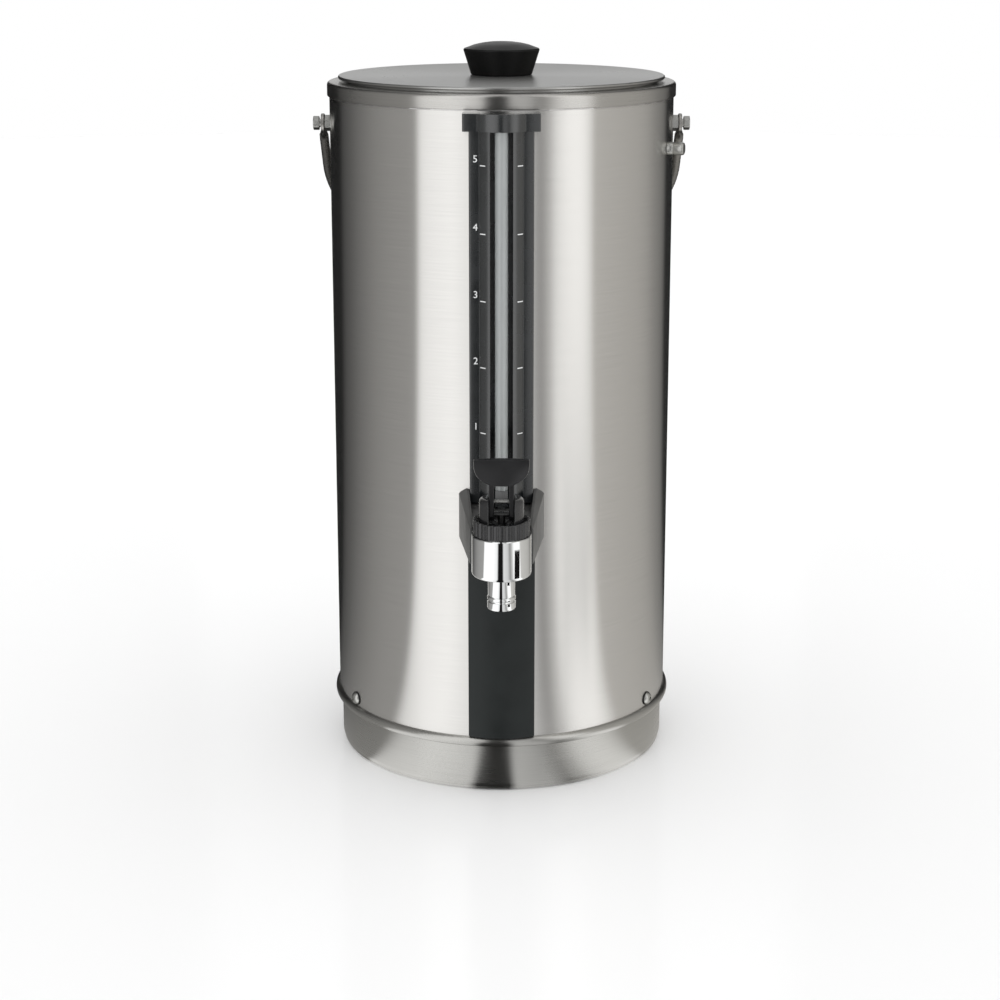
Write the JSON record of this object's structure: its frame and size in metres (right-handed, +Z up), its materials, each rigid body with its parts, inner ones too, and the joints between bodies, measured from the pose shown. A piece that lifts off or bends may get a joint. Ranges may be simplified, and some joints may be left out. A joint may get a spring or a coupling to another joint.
{
  "type": "hot water urn",
  "caption": "Upright steel hot water urn with a gauge strip, a sprung tap, a lift-off lid with a knob and a bail handle.",
  "frame": {"origin": "centre of the flat underside, on the vessel's axis, at the floor", "axes": "+Z up along the vessel's axis, -Y to the front where the tap is, +X to the right seen from the front"},
  "size_m": [0.2418, 0.2843, 0.4653],
  "materials": {
    "jacket_steel": "brushed round the body, satin",
    "pan_steel": "brushed round the body, satin",
    "collar_steel": "satin",
    "lid_steel": "satin, turned",
    "vessel_steel": "satin",
    "rod_steel": "drawn rod, satin",
    "screw_steel": "plated",
    "washer_dark": "dark plated",
    "black_gloss": "semi-gloss moulded",
    "strip_black": "semi-gloss moulded",
    "shroud_black": "semi-gloss moulded",
    "nut_black": "semi-gloss moulded",
    "tap_chrome": "polished",
    "brass_fittings": "machined",
    "stem_steel": "machined",
    "gauge_clear": "clear tube",
    "seal_rubber": "moulded silicone",
    "spacer_plastic": "moulded",
    "insulation_board": "pressed mineral fibre board",
    "heater_metal": "cast",
    "plate_steel": "galvanised sheet",
    "sensor_black": "moulded",
    "terminal_white": "moulded",
    "pin_brass": "plated"
  },
  "bodies": {
    "body": {"bail_nuts": "screw_steel", "bail_pivot_bolts": "screw_steel", "bail_spacers": "screw_steel", "bail_stop": "screw_steel", "bail_stop_nut": "screw_steel", "base_nuts": "screw_steel", "base_pan": "pan_steel", "base_screws": "screw_steel", "base_washers": "washer_dark", "gauge_bottom_seal": "seal_rubber", "gauge_glass": "gauge_clear", "gauge_socket": "brass_fittings", "gauge_strip": "strip_black", "gauge_top_cap": "black_gloss", "gauge_top_seal": "seal_rubber", "heat_shield": "plate_steel", "heater_clamp_plate": "plate_steel", "heater_nuts": "screw_steel", "heater_ring": "heater_metal", "heater_studs": "screw_steel", "inlet_pins": "pin_brass", "inlet_screws": "screw_steel", "inner_vessel": "vessel_steel", "insulation_sleeve": "insulation_board", "lever_pin": "screw_steel", "lower_strip": "strip_black", "mains_inlet": "sensor_black", "neck_gasket": "seal_rubber", "outer_jacket": "jacket_steel", "rim_collar": "collar_steel", "sensor_bridge": "plate_steel", "shank_nut": "brass_fittings", "shank_spacer": "spacer_plastic", "tap_body": "tap_chrome", "tap_bonnet": "nut_black", "tap_nozzle": "tap_chrome", "tap_ring_nut": "nut_black", "tap_shank": "tap_chrome", "tap_shroud": "shroud_black", "tap_spring": "stem_steel", "terminal_block": "terminal_white", "thermal_cutout": "sensor_black", "thermostat": "sensor_black", "vessel_bottom": "vessel_steel", "vessel_gasket": "seal_rubber"},
    "lid": {"lid": "lid_steel", "lid_lugs": "vessel_steel", "lid_knob": "black_gloss", "knob_screw": "screw_steel"},
    "bail": {"bail_handle": "rod_steel"},
    "lever": {"tap_lever": "black_gloss"},
    "valve": {"valve_stem": "stem_steel", "valve_cup": "seal_rubber"}
  },
  "joints": [
    {"name": "lid_lift", "type": "slide", "parent": "body", "child": "lid", "axis": [0, 0, 1], "range_m": [0, 0.045]},
    {"name": "bail_swing", "type": "hinge", "parent": "body", "child": "bail", "pos_m": [0, 0, 0.4134], "axis": [1, 0, 0], "range_deg": [0, 229]},
    {"name": "tap_lever", "type": "hinge", "parent": "body", "child": "lever", "pos_m": [0, -0.15, 0.2035], "axis": [1, 0, 0], "range_deg": [0, 40], "stiffness_Nm_per_rad": 0.4, "springref_deg": -17.19},
    {"name": "valve_lift", "type": "slide", "parent": "body", "child": "valve", "axis": [0, 0, 1], "range_m": [0, 0.0036], "deforming": ["tap_spring"]}
  ],
  "couplings": [
    {"joint": "valve_lift", "follows": "tap_lever", "m_per_rad": 0.005013}
  ]
}
